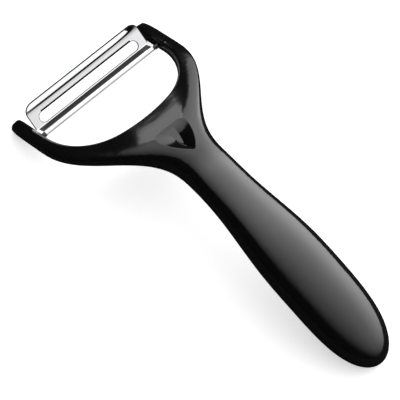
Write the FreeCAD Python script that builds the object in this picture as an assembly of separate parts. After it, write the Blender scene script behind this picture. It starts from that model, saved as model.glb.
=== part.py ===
import FreeCAD, Part
import math
import os

# Y-shaped vegetable peeler: a moulded handle with two prongs, and a slotted steel blade that swings
# on two pins between them. Millimetres. X runs along the blade, +Y points from the grip to the prongs,
# +Z is up. The origin is on the table, under the middle of the part as it lies on its prongs and grip end.

# Overall sizes
overall_length = 151.9
head_width = 63.6
prong_width = 5.1

# Places along the handle, measured back from the prong tips
pivot_setback = 12.3
head_setback = 16.0
crotch_setback = 36.2
neck_setback = 67.7
widest_setback = 117.1

# Widths and thicknesses of the handle
neck_width = 17.4
grip_width = 23.9
prong_thickness = 6.5
neck_thickness = 12.1
grip_thickness = 16.8

# Fullness of the handle's cross-sections (2 is an ellipse) and of the rounded end seen from above
head_fullness = 4.0
grip_fullness = 2.2
end_fullness = 3.4

# Arch of the handle seen from the side: slope in degrees, rising towards the grip
head_angle = 21.6
neck_angle = -7.4
end_angle = -20.0
bend_start = 41.7
bend_length = 32.6

# Opening between the prongs
crotch_radius = 51.8
corner_radius = 20.5
rim_radius = 1.7

# Prong tips: they draw in over their last stretch and are rounded by a share of the rim's radius
tip_length = 6.4
tip_narrowing = 0.8
tip_thinning = 0.5
tip_rounding = 0.7

# Thumb dimple: a three-cornered hollow, shallow at its base and deepest at its apex
dimple_setback = 46.5
dimple_width = 12.8
dimple_length = 14.2
dimple_bulge = 1.3
dimple_depth = 2.6
dimple_base_depth = 0.5
dimple_base_wall = 1.5
dimple_side_wall = 4.6
dimple_apex_wall = 5.6
dimple_rim_radius = 0.5

# Blade: one formed steel sheet. A flange stands up behind its slot and is rolled back into a barrel
sheet = 0.4
barrel_diameter = 2.3
barrel_seam = 0.2
flange_angle = 71.5
flange_length = 3.1
flange_bend = 0.4
blade_clearance = 0.75
slot_land = 0.2
slot_width = 3.7
slot_margin = 3.35
strip_width = 1.3
lip_width = 1.7
lip_angle = 28.0
lip_bend = 5.0
blade_corner = 3.4
edge_bevel = 0.7
edge_land = 0.2
blade_angle = 36.5

# Pivot pins: pressed into the prongs, running in the ends of the barrel. The blade lies slid to the left
pin_clearance = 0.05
pin_reach = 5.0
pin_cover = 1.9
pin_chamfer = 0.2
collar_length = 1.1
end_float = 0.6
rest_gap = 0.15

V = FreeCAD.Vector
X_AXIS = V(1, 0, 0)
Z_AXIS = V(0, 0, 1)
ORIGIN = V(0, 0, 0)
THROUGH = 2 * overall_length
SECTION_POINTS = 32
BODY_STATIONS = 28
END_SHARES = (0.2, 0.4, 0.58, 0.73, 0.85, 0.93, 0.98, 0.997)
TOUCH = 1e-3
LEVEL_STEPS = 400
LEVEL_PASSES = 6

tip_y = overall_length / 2
pivot_y = tip_y - pivot_setback
end_run = overall_length - widest_setback
bend_end = bend_start + bend_length
gap_half = head_width / 2 - prong_width
tip_radius = rim_radius * tip_rounding
collar_start = gap_half - collar_length
barrel_half = collar_start - end_float
blade_slide = end_float - rest_gap
blade_half = gap_half - blade_clearance
slot_half = blade_half - slot_margin
barrel_radius = barrel_diameter / 2
bore_radius = barrel_radius - sheet
pin_radius = bore_radius - pin_clearance
collar_radius = barrel_radius - sheet / 2
pin_end = head_width / 2 - pin_cover

# The blade's section, before the blade is tilted: the barrel's axis is the origin and the sheet lies level
flange_tilt = math.radians(flange_angle)
flange_up = V(0, -math.cos(flange_tilt), math.sin(flange_tilt))
flange_face = V(0, math.sin(flange_tilt), math.cos(flange_tilt))
valley = flange_face * (barrel_radius + flange_bend) - flange_up * flange_length
plate_y = valley.y
plate_top = valley.z - flange_bend
plate_bottom = plate_top - sheet
slot_y = plate_y + slot_land
edge_y = slot_y + slot_width
bend_y = edge_y + strip_width


def smooth_step(share):
    share = min(max(share, 0.0), 1.0)
    return share ** 3 * (share * (6 * share - 15) + 10)


def ease(back, start, end, first, last):
    return first + (last - first) * smooth_step((back - start) / (end - start))


def tip_share(back):
    return max(1 - back / tip_length, 0.0) ** 2


def end_share(back):
    share = max((back - widest_setback) / end_run, 0.0)
    return math.sqrt(max(1 - share ** end_fullness, 0.0))


def half_width(back):
    if back < neck_setback:
        full = ease(back, head_setback, neck_setback, head_width, neck_width)
        return full / 2 - tip_narrowing * tip_share(back)
    return ease(back, neck_setback, widest_setback, neck_width, grip_width) / 2 * end_share(back)


def half_thickness(back):
    if back < neck_setback:
        full = ease(back, head_setback, neck_setback, prong_thickness, neck_thickness)
        return full / 2 - tip_thinning * tip_share(back)
    return ease(back, neck_setback, widest_setback, neck_thickness, grip_thickness) / 2 * end_share(back)


def fullness(back):
    return ease(back, head_setback, neck_setback, head_fullness, grip_fullness)


def arch(back):
    slopes = [math.tan(math.radians(angle)) for angle in (head_angle, neck_angle, end_angle)]
    grip = overall_length - bend_end
    bend_run = min(max(back - bend_start, 0.0), bend_length)
    grip_run = max(back - bend_end, 0.0)
    height = slopes[0] * min(back, bend_start)
    height += slopes[0] * bend_run + (slopes[1] - slopes[0]) * bend_run ** 2 / (2 * bend_length)
    return height + slopes[1] * grip_run + (slopes[2] - slopes[1]) * grip_run ** 2 / (2 * grip)


def half_thickness_at(back, x):
    inside = max(1 - (x / half_width(back)) ** fullness(back), 0.0)
    return half_thickness(back) * inside ** (1 / fullness(back))


def lowest(start, end, x, slope):
    places = [start + (end - start) * i / LEVEL_STEPS for i in range(LEVEL_STEPS)]
    return min((arch(back) - slope * back - half_thickness_at(back, x), back) for back in places)


# The handle is tilted until its prongs and its grip end both touch the table
prong_middle = gap_half + prong_width / 2
lay_slope = 0.0
for level_pass in range(LEVEL_PASSES):
    front_low, front_back = lowest(0.0, pivot_setback, prong_middle, lay_slope)
    rear_low, rear_back = lowest(neck_setback, overall_length, 0.0, lay_slope)
    lay_slope += (rear_low - front_low) / (rear_back - front_back)


def mid_height(back):
    return arch(back) - lay_slope * back - front_low


def top_height(back):
    return mid_height(back) + half_thickness(back)


def signed_power(value, power):
    return math.copysign(abs(value) ** power, value)


def section(back):
    power = 2 / fullness(back)
    points = []
    for i in range(SECTION_POINTS):
        angle = 2 * math.pi * i / SECTION_POINTS
        x = half_width(back) * signed_power(math.cos(angle), power)
        z = mid_height(back) + half_thickness(back) * signed_power(math.sin(angle), power)
        points.append(V(x, tip_y - back, z))
    curve = Part.BSplineCurve()
    curve.interpolate(Points=points, PeriodicFlag=True, Parameters=list(range(SECTION_POINTS + 1)))
    return Part.Wire(curve.toShape())


def handle_blank():
    body = [widest_setback * i / BODY_STATIONS for i in range(BODY_STATIONS + 1)]
    end = [widest_setback + end_run * share for share in END_SHARES]
    end_point = Part.Vertex(V(0, tip_y - overall_length, mid_height(overall_length)))
    return Part.makeLoft([section(back) for back in body + end] + [end_point], True, False)


def mirrored(shape):
    return shape.mirror(ORIGIN, X_AXIS)


def gap_outline():
    crotch_centre = V(0, tip_y - crotch_setback + crotch_radius, 0)
    span = crotch_radius - corner_radius
    corner_x = gap_half - corner_radius
    corner_centre = V(corner_x, crotch_centre.y - math.sqrt(span ** 2 - corner_x ** 2), 0)
    meet = crotch_centre + (corner_centre - crotch_centre) * (crotch_radius / span)
    halfway = ((meet - corner_centre).normalize() + X_AXIS).normalize()
    wall_foot = V(gap_half, corner_centre.y, 0)
    wall_top = V(gap_half, tip_y + THROUGH, 0)
    right = [
        Part.makeLine(wall_top, wall_foot),
        Part.Arc(wall_foot, corner_centre + halfway * corner_radius, meet).toShape(),
    ]
    left = [mirrored(edge) for edge in right]
    crotch = Part.Arc(meet, V(0, tip_y - crotch_setback, 0), V(-meet.x, meet.y, 0)).toShape()
    front = Part.makeLine(V(-gap_half, wall_top.y, 0), wall_top)
    return Part.Wire(Part.__sortEdges__(right + [crotch] + left + [front]))


def places_on(edge):
    first, last = edge.ParameterRange
    return [edge.valueAt(first + (last - first) * share) for share in (0.05, 0.5, 0.95)]


def near(value, target):
    return abs(value - target) < TOUCH


def at_tip(edge):
    return all(near(place.y, tip_y) for place in places_on(edge))


def lies_on(edge, shape):
    return all(shape.distToShape(Part.Vertex(place))[0] < TOUCH for place in places_on(edge))


def opened(body):
    outline = gap_outline().translated(Z_AXIS * -THROUGH)
    walls = outline.extrude(Z_AXIS * (2 * THROUGH))
    body = body.cut(Part.Face(outline).extrude(Z_AXIS * (2 * THROUGH)))
    rims = [edge for edge in body.Edges if lies_on(edge, walls) and not at_tip(edge)]
    body = body.makeFillet(rim_radius, rims)
    return body.makeFillet(tip_radius, [edge for edge in body.Edges if at_tip(edge)])


def dimple_corners(setback, width, length, base_depth, apex_depth):
    base_z = top_height(setback) - base_depth
    apex_z = top_height(setback + length) - apex_depth
    base_y = tip_y - setback
    return [V(width / 2, base_y, base_z), V(-width / 2, base_y, base_z), V(0, base_y - length, apex_z)]


def rounded_triangle(right, left, apex, bulge):
    middle = (right + left + apex) / 3
    edges = [Part.makeLine(right, left)]
    for corner in (left, right):
        halfway = (corner + apex) / 2
        bulged = halfway + (halfway - middle).normalize() * bulge
        edges.append(Part.Arc(corner, bulged, apex).toShape())
    return Part.Wire(Part.__sortEdges__(edges))


def dimple_tool():
    """The hollow's floor, widening through its rim and on past the handle's skin."""
    rim = dimple_corners(dimple_setback, dimple_width, dimple_length, 0.0, 0.0)
    floor_width = dimple_width - 2 * dimple_side_wall
    floor_length = dimple_length - dimple_base_wall - dimple_apex_wall
    floor_setback = dimple_setback + dimple_base_wall
    floor = dimple_corners(floor_setback, floor_width, floor_length, dimple_base_depth, dimple_depth)
    floor_bulge = dimple_bulge * floor_width / dimple_width
    over = [high * 2 - low for high, low in zip(rim, floor)]
    over_bulge = dimple_bulge * 2 - floor_bulge
    outlines = [rounded_triangle(*floor, floor_bulge), rounded_triangle(*over, over_bulge)]
    return Part.makeLoft(outlines, True, True)


def pin():
    """The right-hand pin: journal in the barrel, collar on the prong's inner face, shank in the prong."""
    start = barrel_half - pin_reach
    centre = V(start, pivot_y, mid_height(pivot_setback))
    shank = Part.makeCylinder(pin_radius, pin_end - start, centre, X_AXIS)
    collar_foot = centre + X_AXIS * (collar_start - start)
    collar = Part.makeCylinder(collar_radius, collar_length, collar_foot, X_AXIS)
    ends = [e for e in shank.Edges if isinstance(e.Curve, Part.Circle)]
    return shank.makeChamfer(pin_chamfer, ends).fuse(collar).removeSplitter()


def make_handle(right_pin):
    skin = opened(handle_blank())
    hollow = dimple_tool()
    body = skin.cut(hollow)
    walls = hollow.Shells[0]
    rim = [edge for edge in body.Edges if lies_on(edge, walls) and lies_on(edge, skin.Shells[0])]
    return body.makeFillet(dimple_rim_radius, rim).cut([right_pin, mirrored(right_pin)])


def arc_about(centre, radius, first, last):
    """An arc about the X direction, from one direction to another in degrees from +Y towards +Z."""
    places = []
    for angle in (first, (first + last) / 2, last):
        turn = math.radians(angle)
        places.append(centre + V(0, math.cos(turn), math.sin(turn)) * radius)
    return Part.Arc(*places).toShape()


def blade_profile():
    lean = 90 - flange_angle
    roll_end = lean + 360 - math.degrees(math.acos((bore_radius - barrel_seam) / barrel_radius))
    lip_bend_centre = V(0, bend_y, plate_top + lip_bend)
    valley_outer = flange_bend + sheet
    lip_outer = lip_bend + sheet
    roll_outer = arc_about(ORIGIN, barrel_radius, lean, roll_end)
    roll_inner = arc_about(ORIGIN, bore_radius, lean, roll_end)
    valley_above = arc_about(valley, flange_bend, lean + 180, 270)
    valley_below = arc_about(valley, valley_outer, lean + 180, 270)
    lip_above = arc_about(lip_bend_centre, lip_bend, 270, 270 + lip_angle)
    lip_below = arc_about(lip_bend_centre, lip_outer, 270, 270 + lip_angle)
    tilt = math.radians(lip_angle)
    reach = V(0, math.cos(tilt), math.sin(tilt)) * lip_width
    lip_top = lip_above.lastVertex().Point
    lip_bottom = lip_below.lastVertex().Point
    edges = [
        Part.makeLine(roll_outer.lastVertex().Point, roll_inner.lastVertex().Point),
        roll_outer,
        roll_inner,
        Part.makeLine(roll_outer.firstVertex().Point, valley_above.firstVertex().Point),
        Part.makeLine(roll_inner.firstVertex().Point, valley_below.firstVertex().Point),
        valley_above,
        valley_below,
        Part.makeLine(valley_above.lastVertex().Point, lip_above.firstVertex().Point),
        Part.makeLine(valley_below.lastVertex().Point, lip_below.firstVertex().Point),
        lip_above,
        lip_below,
        Part.makeLine(lip_top, lip_top + reach),
        Part.makeLine(lip_bottom, lip_bottom + reach),
        Part.makeLine(lip_top + reach, lip_bottom + reach),
    ]
    return Part.Face(Part.Wire(Part.__sortEdges__(edges)))


def blade_plan(front):
    """Seen along the sheet: the barrel's length behind the plate, the full length before it."""
    slab = Part.makeBox(2 * blade_half, front - plate_y, THROUGH, V(-blade_half, plate_y, -THROUGH / 2))
    ends = [edge for edge in slab.Edges if near(abs(edge.CenterOfMass.x), blade_half)]
    corners = [edge for edge in ends if near(edge.CenterOfMass.y, front)]
    slab = slab.makeFillet(blade_corner, corners)
    rear = Part.makeBox(2 * barrel_half, THROUGH, THROUGH, V(-barrel_half, plate_y - THROUGH, -THROUGH / 2))
    return slab.fuse(rear)


def slot_tool():
    radius = slot_width / 2
    straight = 2 * (slot_half - radius)
    low = plate_bottom - sheet
    height = 3 * sheet
    tool = Part.makeBox(straight, slot_width, height, V(-straight / 2, slot_y, low))
    for side in (-1, 1):
        tool = tool.fuse(Part.makeCylinder(radius, height, V(side * straight / 2, slot_y + radius, low)))
    bevel_foot = V(-straight / 2, edge_y, plate_bottom + edge_land)
    bevel_back = V(-straight / 2, edge_y, plate_top)
    bevel_front = V(-straight / 2, edge_y + edge_bevel, plate_top)
    bevel = Part.Face(Part.makePolygon([bevel_foot, bevel_back, bevel_front, bevel_foot]))
    return tool.fuse(bevel.extrude(X_AXIS * straight)).removeSplitter()


def make_blade():
    strip = blade_profile().extrude(X_AXIS * (2 * blade_half))
    strip.translate(X_AXIS * -blade_half)
    body = strip.common(blade_plan(strip.BoundBox.YMax)).cut(slot_tool())
    body.rotate(ORIGIN, X_AXIS, blade_angle)
    body.translate(V(-blade_slide, pivot_y, mid_height(pivot_setback)))
    return body


right_pin = pin()
parts = {
    "handle": make_handle(right_pin),
    "blade": make_blade(),
    "pivot_pin_left": mirrored(right_pin),
    "pivot_pin_right": right_pin,
}
os.makedirs("parts", exist_ok=True)
for name, shape in parts.items():
    solid = shape.Solids[0]
    print(name, len(shape.Solids), solid.isValid(), round(solid.Volume, 2), solid.optimalBoundingBox())
    solid.exportStep("parts/" + name + ".step")
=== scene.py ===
import bpy
import math
from mathutils import Matrix, Vector

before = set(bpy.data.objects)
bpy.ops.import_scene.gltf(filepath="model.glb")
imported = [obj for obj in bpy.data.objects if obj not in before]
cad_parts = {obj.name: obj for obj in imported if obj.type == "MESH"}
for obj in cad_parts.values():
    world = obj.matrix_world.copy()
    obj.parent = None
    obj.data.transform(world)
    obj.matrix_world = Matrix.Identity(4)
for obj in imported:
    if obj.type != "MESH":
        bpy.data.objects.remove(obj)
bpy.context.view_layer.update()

# Lengths are in metres. X runs along the blade to the right, Y from the grip to the prongs, Z up
ACROSS = (1.0, 0.0, 0.0)
AHEAD = (0.0, 1.0, 0.0)
UPWARD = (0.0, 0.0, 1.0)
WHITE = (1.0, 1.0, 1.0, 1.0)

PINS = ("pivot_pin_left", "pivot_pin_right")
METAL = ("blade",) + PINS

# Camera: the photograph's angle, seen from the left, above and behind the grip
AZIMUTH = math.radians(-42.89)
ELEVATION = math.radians(61.96)
TARGET = Vector((-0.00519, 0.00727, 0.01011))
DISTANCE = 1.0
FRAME_WIDTH = 0.1356
SENSOR_WIDTH = 36.0
VIEW_END = 20.0

# Softbox, in directions: it brightens along two ramps, ends at two straight edges and the horizon,
# and is dimmer towards the front. Each range is where its direction's share changes
LOW_RAMP = (0.021, 0.394, -0.919)
LOW_RAMP_RANGE = (-1.51, 0.30)
RIGHT_RAMP = (0.614, 0.017, 0.789)
RIGHT_RAMP_RANGE = (0.02, 1.56)
LEFT_EDGE = (0.623, -0.523, 0.581)
LEFT_EDGE_RANGE = (-0.10, -0.02)
FRONT_EDGE = (0.283, -0.505, 0.815)
FRONT_EDGE_RANGE = (-0.035, 0.015)
FRONT_FADE_RANGE = (0.2, 0.5)
FRONT_SHARE = 0.5
HORIZON_RANGE = (-0.05, 0.02)
LIGHT_GAIN = 7.4
LIGHT_REST = 0.01
BACKDROP = 1.0

# A card lamp in front of the prongs, seen only in reflections. Its left edge leans over, its lower right
# corner is cut off and its top fades out
CARD_PLACE = (0.0375, 0.15, 0.076)
CARD_TURN = (math.radians(-90), 0.0, 0.0)
CARD_SIZE = (0.070, 0.050)
CARD_LIGHT = 1.45
CARD_LEFT = (0.880, 0.0, 0.476)
CARD_LEFT_RANGE = (0.0507, 0.0527)
CARD_RIGHT_RANGE = (0.069, 0.071)
CARD_CORNER = (-0.747, 0.0, 0.664)
CARD_CORNER_RANGE = (-0.0100, -0.0080)
CARD_BOTTOM_RANGE = (0.0507, 0.0519)
CARD_TOP_RANGE = (0.085, 0.099)

# The blade as it lies: the way ahead along its sheet, the way its flange faces and the way up the flange
SHEET_ANGLE = math.radians(36.5)
SHEET_AHEAD = Vector((0.0, math.cos(SHEET_ANGLE), math.sin(SHEET_ANGLE)))
FACE_ANGLE = math.radians(55)
FLANGE_FACE = Vector((0.0, math.cos(FACE_ANGLE), math.sin(FACE_ANGLE)))
FLANGE_UP = Vector((0.0, -FLANGE_FACE.z, FLANGE_FACE.y))

# The flange, measured from the pivot: the soft edges of its mask of painted shade behind, in front, below and
# above
FLANGE_BEHIND = (0.0009, 0.0010)
FLANGE_BEFORE = (0.0014, 0.0016)
FLANGE_BELOW = (-0.0034, -0.0031)
FLANGE_ABOVE = (-0.0002, 0.0001)

# The blade's outline and its slot, measured along the sheet from the pivot. The blade lies slid to the left
BLADE_SLIDE = 0.00045
BLADE_END = 0.02595
BLADE_FRONT = 0.0115
BLADE_CORNER = 0.0034
SLOT_MIDDLE = 0.0045
SLOT_STRAIGHT = 0.02075
SLOT_RADIUS = 0.00185

# The width of the cut rims along both, which get painted shade, and where their inner borders lie, in rim
# widths
CUT_RIM = 0.00025
OUTLINE_BORDER = (-1.2, -0.8)
SLOT_BORDER = (0.6, 0.9)

# Finishes: two colours that a noise mixes, the range of roughness, noises as scale and detail, and bumps as
# strength and height
NOISE_SPREAD = (0.3, 0.7)
PLASTIC_COLOURS = ((0.003, 0.003, 0.0033, 1.0), (0.006, 0.006, 0.0063, 1.0))
PLASTIC_ROUGHNESS = (0.07, 0.10)
PLASTIC_GLOSS = 1.0
PLASTIC_CLOUD = (60.0, 4.0)
PLASTIC_GRAIN = (900.0, 3.0)
PLASTIC_BUMP = (0.02, 0.0001)
BLADE_COLOURS = ((0.86, 0.86, 0.87, 1.0), (0.92, 0.92, 0.93, 1.0))
BLADE_ROUGHNESS = (0.03, 0.06)
# Pins: near-black steel colours, painted shade for the inside of the blade's tube where they sit
PIN_SHADED_COLOURS = ((0.05, 0.05, 0.052, 1.0), (0.075, 0.075, 0.078, 1.0))
PIN_ROUGHNESS = (0.2, 0.3)
STEEL_LINES = (700.0, 4.0)
STEEL_STRETCH = (0.02, 1.0, 1.0)
STEEL_CLOUD = (120.0, 3.0)
STEEL_BUMP = (0.03, 0.00005)
# Painted shade and dark reflections on the blade's flange and cut rims: near-black colours, a rougher range
# and a fine grain
SHADE_PAINT_COLOURS = ((0.014, 0.014, 0.0145, 1.0), (0.032, 0.032, 0.033, 1.0))
SHADE_PAINT_ROUGHNESS = (0.32, 0.42)
SHADE_PAINT_GRAIN = (2500.0, 2.0)

# Floor: its colours, its colour in the handle's gloss, the brightness added for the camera and the brightness
# that the metal mirrors
FLOOR_HALF = 3.0
FLOOR_COLOURS = ((0.90, 0.90, 0.90, 1.0), (0.94, 0.94, 0.94, 1.0))
FLOOR_SPECKLE = (40.0, 3.0)
FLOOR_IN_GLOSS = (0.03, 0.03, 0.03, 1.0)
FLOOR_LIFT = 0.6
FLOOR_MIRRORED = 1.1

# The two inputs and the output of a Mix node, whose names aren't unique
MIX_SOCKETS = {"FLOAT": (2, 3, 0), "RGBA": (6, 7, 2)}


def add(tree, kind, **values):
    node = tree.nodes.new(kind)
    for name, value in values.items():
        setattr(node, name, value)
    return node


def feed(tree, socket, value):
    """Links another node's output to a socket, or writes a constant on it."""
    if isinstance(value, bpy.types.NodeSocket):
        tree.links.new(value, socket)
    else:
        socket.default_value = value


def map_range(tree, source, limits, values):
    node = add(tree, "ShaderNodeMapRange", interpolation_type="SMOOTHSTEP")
    feed(tree, node.inputs["Value"], source)
    for name, value in zip(("From Min", "From Max", "To Min", "To Max"), (*limits, *values)):
        feed(tree, node.inputs[name], value)
    return node.outputs["Result"]


def rise(tree, source, limits):
    return map_range(tree, source, limits, (0.0, 1.0))


def fall(tree, source, limits):
    return map_range(tree, source, limits, (1.0, 0.0))


def maths(tree, operation, *values):
    node = add(tree, "ShaderNodeMath", operation=operation)
    for socket, value in zip(node.inputs, values):
        feed(tree, socket, value)
    return node.outputs["Value"]


def product(tree, *values):
    total = values[0]
    for value in values[1:]:
        total = maths(tree, "MULTIPLY", total, value)
    return total


def along(tree, source, vector):
    node = add(tree, "ShaderNodeVectorMath", operation="DOT_PRODUCT")
    feed(tree, node.inputs[0], source)
    feed(tree, node.inputs[1], vector)
    return node.outputs["Value"]


def noise(tree, coords, scale, detail, stretch=(1.0, 1.0, 1.0)):
    mapping = add(tree, "ShaderNodeMapping")
    feed(tree, mapping.inputs["Vector"], coords)
    feed(tree, mapping.inputs["Scale"], stretch)
    node = add(tree, "ShaderNodeTexNoise")
    feed(tree, node.inputs["Vector"], mapping.outputs["Vector"])
    feed(tree, node.inputs["Scale"], scale)
    feed(tree, node.inputs["Detail"], detail)
    return node.outputs["Fac"]


def mix(tree, kind, factor, first, second):
    node = add(tree, "ShaderNodeMix", data_type=kind)
    low, high, result = MIX_SOCKETS[kind]
    feed(tree, node.inputs["Factor"], factor)
    feed(tree, node.inputs[low], first)
    feed(tree, node.inputs[high], second)
    return node.outputs[result]


def bump(tree, source, strength, height):
    node = add(tree, "ShaderNodeBump")
    feed(tree, node.inputs["Height"], source)
    feed(tree, node.inputs["Strength"], strength)
    feed(tree, node.inputs["Distance"], height)
    return node.outputs["Normal"]


def new_material(name):
    material = bpy.data.materials.new(name)
    material.use_nodes = True
    tree = material.node_tree
    coords = add(tree, "ShaderNodeTexCoord").outputs["Object"]
    return material, tree, tree.nodes["Principled BSDF"].inputs, coords


def plastic():
    material, tree, shader, coords = new_material("black moulded plastic")
    cloud = noise(tree, coords, *PLASTIC_CLOUD)
    grain = noise(tree, coords, *PLASTIC_GRAIN)
    feed(tree, shader["Base Color"], mix(tree, "RGBA", cloud, *PLASTIC_COLOURS))
    feed(tree, shader["Roughness"], map_range(tree, cloud, NOISE_SPREAD, PLASTIC_ROUGHNESS))
    feed(tree, shader["Specular IOR Level"], PLASTIC_GLOSS)
    feed(tree, shader["Normal"], bump(tree, grain, *PLASTIC_BUMP))
    return material


def steel(name, colours, roughness):
    material, tree, shader, coords = new_material(name)
    lines = noise(tree, coords, *STEEL_LINES, STEEL_STRETCH)
    cloud = noise(tree, coords, *STEEL_CLOUD)
    feed(tree, shader["Base Color"], mix(tree, "RGBA", cloud, *colours))
    feed(tree, shader["Metallic"], 1.0)
    feed(tree, shader["Roughness"], map_range(tree, lines, NOISE_SPREAD, roughness))
    feed(tree, shader["Normal"], bump(tree, lines, *STEEL_BUMP))
    return material


def shifted(limits, zero, unit=1.0):
    return tuple(zero + limit * unit for limit in limits)


def beyond(tree, value, limit):
    return maths(tree, "MAXIMUM", maths(tree, "SUBTRACT", value, limit), 0.0)


def distance(tree, first, second):
    squares = maths(tree, "ADD", product(tree, first, first), product(tree, second, second))
    return maths(tree, "SQRT", squares)


def cut_rims(tree, coords, pivot):
    """Mask of the narrow rims along the blade's outline and round its slot, where shade is painted."""
    from_middle = maths(tree, "ADD", along(tree, coords, ACROSS), BLADE_SLIDE)
    sideways = maths(tree, "ABSOLUTE", from_middle)
    ahead = maths(tree, "SUBTRACT", along(tree, coords, SHEET_AHEAD), SHEET_AHEAD.dot(pivot))
    corner = distance(
        tree,
        beyond(tree, sideways, BLADE_END - BLADE_CORNER),
        beyond(tree, ahead, BLADE_FRONT - BLADE_CORNER),
    )
    slot = distance(
        tree,
        beyond(tree, sideways, SLOT_STRAIGHT),
        maths(tree, "SUBTRACT", ahead, SLOT_MIDDLE),
    )
    outline = rise(tree, corner, shifted(OUTLINE_BORDER, BLADE_CORNER, CUT_RIM))
    opening = fall(tree, slot, shifted(SLOT_BORDER, SLOT_RADIUS, CUT_RIM))
    return maths(tree, "MAXIMUM", outline, opening)


def paint_shade_places(material, pivot):
    """Paints shade and dark reflections on the flange that stands up behind the blade's slot, and on the cut
    rims: a near-black, rougher colour in place of the polished steel.
    """
    tree = material.node_tree
    shader = tree.nodes["Principled BSDF"].inputs
    coords = add(tree, "ShaderNodeTexCoord").outputs["Object"]
    out = along(tree, coords, FLANGE_FACE)
    up = along(tree, coords, FLANGE_UP)
    out_zero = FLANGE_FACE.dot(pivot)
    up_zero = FLANGE_UP.dot(pivot)
    flange = product(
        tree,
        rise(tree, out, shifted(FLANGE_BEHIND, out_zero)),
        fall(tree, out, shifted(FLANGE_BEFORE, out_zero)),
        rise(tree, up, shifted(FLANGE_BELOW, up_zero)),
        fall(tree, up, shifted(FLANGE_ABOVE, up_zero)),
    )
    # Where shade is painted: the flange and the cut rims
    shade_mask = maths(tree, "MAXIMUM", flange, cut_rims(tree, coords, pivot))
    grain = noise(tree, coords, *SHADE_PAINT_GRAIN)
    # Near-black, rougher colour: painted shade in place of the polished steel
    painted_shade = {
        "Base Color": ("RGBA", mix(tree, "RGBA", grain, *SHADE_PAINT_COLOURS)),
        "Roughness": ("FLOAT", map_range(tree, grain, NOISE_SPREAD, SHADE_PAINT_ROUGHNESS)),
    }
    for name, (kind, shade_value) in painted_shade.items():
        polished = shader[name].links[0].from_socket
        feed(tree, shader[name], mix(tree, kind, shade_mask, polished, shade_value))


def floor_material():
    """Pale for the camera and in the metal that is linked to its light, dark in the handle's gloss."""
    material, tree, shader, coords = new_material("pale floor")
    path = add(tree, "ShaderNodeLightPath").outputs
    pale = mix(tree, "RGBA", noise(tree, coords, *FLOOR_SPECKLE), *FLOOR_COLOURS)
    feed(tree, shader["Base Color"], mix(tree, "RGBA", path["Is Glossy Ray"], pale, FLOOR_IN_GLOSS))
    feed(tree, shader["Roughness"], 1.0)
    feed(tree, shader["Specular IOR Level"], 0.0)
    seen = product(tree, path["Is Camera Ray"], FLOOR_LIFT)
    mirrored = product(tree, path["Is Glossy Ray"], FLOOR_MIRRORED)
    feed(tree, shader["Emission Strength"], maths(tree, "ADD", seen, mirrored))
    feed(tree, shader["Emission Color"], WHITE)
    material.cycles.emission_sampling = "NONE"
    return material


def studio_world():
    """The softbox lights the object, and the camera sees a white backdrop instead of it."""
    world = bpy.data.worlds.new("studio")
    bpy.context.scene.world = world
    world.use_nodes = True
    tree = world.node_tree
    background = tree.nodes["Background"].inputs
    direction = add(tree, "ShaderNodeTexCoord").outputs["Generated"]
    softbox = product(
        tree,
        map_range(tree, along(tree, direction, LOW_RAMP), LOW_RAMP_RANGE, (0.0, LIGHT_GAIN)),
        rise(tree, along(tree, direction, RIGHT_RAMP), RIGHT_RAMP_RANGE),
        rise(tree, along(tree, direction, LEFT_EDGE), LEFT_EDGE_RANGE),
        rise(tree, along(tree, direction, FRONT_EDGE), FRONT_EDGE_RANGE),
        map_range(tree, along(tree, direction, AHEAD), FRONT_FADE_RANGE, (1.0, FRONT_SHARE)),
        rise(tree, along(tree, direction, UPWARD), HORIZON_RANGE),
    )
    light = maths(tree, "ADD", softbox, LIGHT_REST)
    camera_ray = add(tree, "ShaderNodeLightPath").outputs["Is Camera Ray"]
    feed(tree, background["Strength"], mix(tree, "FLOAT", camera_ray, light, BACKDROP))
    feed(tree, background["Color"], WHITE)


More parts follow.
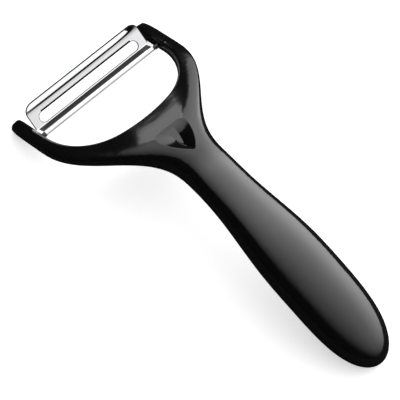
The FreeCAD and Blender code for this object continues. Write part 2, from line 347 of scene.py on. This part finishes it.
def front_card():
    data = bpy.data.lights.new("front card", "AREA")
    data.shape = "RECTANGLE"
    data.size, data.size_y = CARD_SIZE
    data.energy = CARD_LIGHT * math.pi * CARD_SIZE[0] * CARD_SIZE[1]
    data.use_nodes = True
    tree = data.node_tree
    place = add(tree, "ShaderNodeNewGeometry").outputs["Position"]
    height = along(tree, place, UPWARD)
    shape = product(
        tree,
        rise(tree, along(tree, place, CARD_LEFT), CARD_LEFT_RANGE),
        fall(tree, along(tree, place, ACROSS), CARD_RIGHT_RANGE),
        rise(tree, along(tree, place, CARD_CORNER), CARD_CORNER_RANGE),
        rise(tree, height, CARD_BOTTOM_RANGE),
        fall(tree, height, CARD_TOP_RANGE),
    )
    feed(tree, tree.nodes["Emission"].inputs["Strength"], shape)
    lamp = bpy.data.objects.new("front card", data)
    bpy.context.collection.objects.link(lamp)
    lamp.location = CARD_PLACE
    lamp.rotation_euler = CARD_TURN
    lamp.visible_camera = False
    lamp.visible_diffuse = False


def stage_floor():
    """The floor. Only the metal receives the light that it gives to reflections."""
    mesh = bpy.data.meshes.new("floor")
    signs = ((-1, -1), (1, -1), (1, 1), (-1, 1))
    mesh.from_pydata([(x * FLOOR_HALF, y * FLOOR_HALF, 0) for x, y in signs], [], [(0, 1, 2, 3)])
    floor = bpy.data.objects.new("floor", mesh)
    bpy.context.collection.objects.link(floor)
    mesh.materials.append(floor_material())
    metal = bpy.data.collections.new("metal that mirrors the floor")
    for name in METAL:
        metal.objects.link(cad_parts[name])
    floor.light_linking.receiver_collection = metal


def photo_camera():
    flat = math.cos(ELEVATION)
    back = Vector((math.sin(AZIMUTH) * flat, -math.cos(AZIMUTH) * flat, math.sin(ELEVATION)))
    right = Vector((math.cos(AZIMUTH), math.sin(AZIMUTH), 0.0))
    up = back.cross(right)
    data = bpy.data.cameras.new("camera")
    camera = bpy.data.objects.new("camera", data)
    bpy.context.collection.objects.link(camera)
    place = Matrix((right, up, back)).transposed().to_4x4()
    place.translation = TARGET + back * DISTANCE
    camera.matrix_world = place
    data.sensor_width = SENSOR_WIDTH
    data.lens = SENSOR_WIDTH * DISTANCE / FRAME_WIDTH
    data.clip_end = VIEW_END
    bpy.context.scene.camera = camera


def dress():
    """Puts a finish on every piece, with painted shade on the blade's flange and cut rims. The middle of a
    pin lies on the pivot's axis.
    """
    finishes = {
        "handle": plastic(),
        "blade": steel("polished steel", BLADE_COLOURS, BLADE_ROUGHNESS),
    }
    # The pins' near-black colour is painted shade
    finishes.update(dict.fromkeys(PINS, steel("steel with painted shade", PIN_SHADED_COLOURS, PIN_ROUGHNESS)))
    pin_corners = [Vector(corner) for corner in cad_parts[PINS[0]].bound_box]
    paint_shade_places(finishes["blade"], sum(pin_corners, Vector()) / len(pin_corners))
    for name, material in finishes.items():
        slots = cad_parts[name].data.materials
        for index in range(len(slots)):
            slots[index] = material


dress()
studio_world()
front_card()
stage_floor()
photo_camera()
bpy.context.scene.view_settings.view_transform = "Standard"
